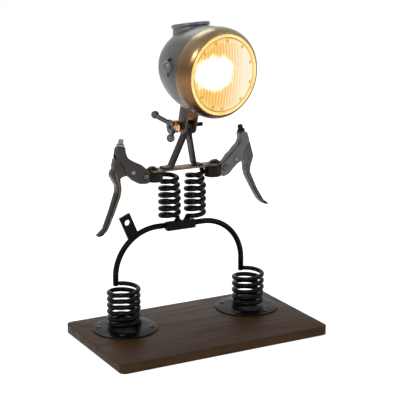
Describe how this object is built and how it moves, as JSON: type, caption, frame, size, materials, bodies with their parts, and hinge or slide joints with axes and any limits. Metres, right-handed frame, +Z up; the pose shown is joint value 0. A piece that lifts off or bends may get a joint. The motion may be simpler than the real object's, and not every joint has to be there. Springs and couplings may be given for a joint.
{
  "type": "robot shaped desk lamp",
  "caption": "Desk lamp shaped as a robot: tilting round headlamp on a forked stud, flat strap neck, coil spring body and feet, brake lever arms, wooden board.",
  "frame": {"origin": "centre of the board's underside", "axes": "+X to the viewer's right when facing the robot, -Y the robot's front, +Z up"},
  "size_m": [0.332, 0.195, 0.454],
  "materials": {
    "wood": "semi-gloss, walnut stain",
    "black_steel": "satin black paint",
    "spring_steel": "gloss black paint",
    "strap_steel": "dark bronze, rubbed",
    "bar_steel": "aged, worn brown-grey",
    "lever_dark": "satin gunmetal",
    "lever_light": "satin grey",
    "blade_metal": "satin, edges worn brown",
    "bright_steel": "bright",
    "dark_steel": "dark, polished",
    "fork_steel": "satin grey",
    "brass": "polished",
    "shell_paint": "satin grey",
    "bezel_chrome": "smoked nickel plate",
    "collar_metal": "gloss gunmetal",
    "lens_glass": "fluted, amber lit",
    "ring_cream": "gloss cream",
    "rubber": "matt black",
    "reflector": "silvered",
    "bulb_glass": "clear",
    "bulb_metal": "plated",
    "ceramic": "glazed",
    "wire_cover": "red insulation"
  },
  "bodies": {
    "root": {"base_board": "wood", "foot_disc_left": "black_steel", "foot_disc_right": "black_steel", "foot_screws_left": "black_steel", "foot_screws_right": "black_steel", "foot_spring_left": "spring_steel", "foot_spring_right": "spring_steel", "leg_left": "black_steel", "leg_right": "black_steel", "leg_tab": "black_steel", "hip_bar": "black_steel", "torso_spring_left": "spring_steel", "torso_spring_right": "spring_steel", "shoulder_bar": "bar_steel", "shoulder_stub_left": "strap_steel", "shoulder_stub_right": "strap_steel", "shoulder_bolt_left": "black_steel", "shoulder_bolt_right": "black_steel", "clamp_band_left": "strap_steel", "clamp_band_right": "strap_steel", "clamp_bolt_left": "dark_steel", "clamp_bolt_right": "bright_steel", "lever_housing_left": "lever_dark", "lever_housing_right": "lever_light", "lever_pin_left": "bright_steel", "lever_pin_right": "bright_steel", "cable_adjuster_left": "bright_steel", "cable_adjuster_right": "dark_steel", "adjuster_locknut_left": "bright_steel", "adjuster_locknut_right": "dark_steel", "neck_strap_left": "strap_steel", "neck_strap_right": "strap_steel", "neck_spacers": "strap_steel"},
    "wing_nut": {"wing_nut": "dark_steel"},
    "left_blade": {"lever_blade_left": "blade_metal"},
    "right_blade": {"lever_blade_right": "blade_metal"},
    "head": {"neck_stud": "black_steel", "neck_washer": "dark_steel", "neck_locknut": "dark_steel", "brass_nut": "brass", "head_fork": "fork_steel", "headlamp_shell": "shell_paint", "headlamp_bezel": "bezel_chrome", "lens_ring": "ring_cream", "lens": "lens_glass", "lens_gasket": "rubber", "reflector": "reflector", "bulb_glass": "bulb_glass", "bulb_cap": "bulb_metal", "bulb_holder": "ceramic", "lamp_wires": "wire_cover", "cable_grommet": "rubber", "top_collar": "collar_metal", "collar_cap": "collar_metal", "side_boss_left": "collar_metal", "side_boss_right": "collar_metal", "side_screws": "bright_steel"}
  },
  "joints": [
    {"name": "head_tilt", "type": "hinge", "parent": "root", "child": "head", "pos_m": [0.0052, 0.037, 0.3025], "axis": [1, 0, 0], "range_deg": [-25, 25]},
    {"name": "wing_nut_turn", "type": "hinge", "parent": "head", "child": "wing_nut", "pos_m": [-0.0209, 0.037, 0.3025], "axis": [1, 0, 0], "continuous": true},
    {"name": "left_brake_lever", "type": "hinge", "parent": "root", "child": "left_blade", "pos_m": [-0.0817, 0.043, 0.242], "axis": [0, -1, 0], "range_deg": [0, 30]},
    {"name": "right_brake_lever", "type": "hinge", "parent": "root", "child": "right_blade", "pos_m": [0.0867, 0.043, 0.2443], "axis": [0, 1, 0], "range_deg": [0, 30]}
  ]
}
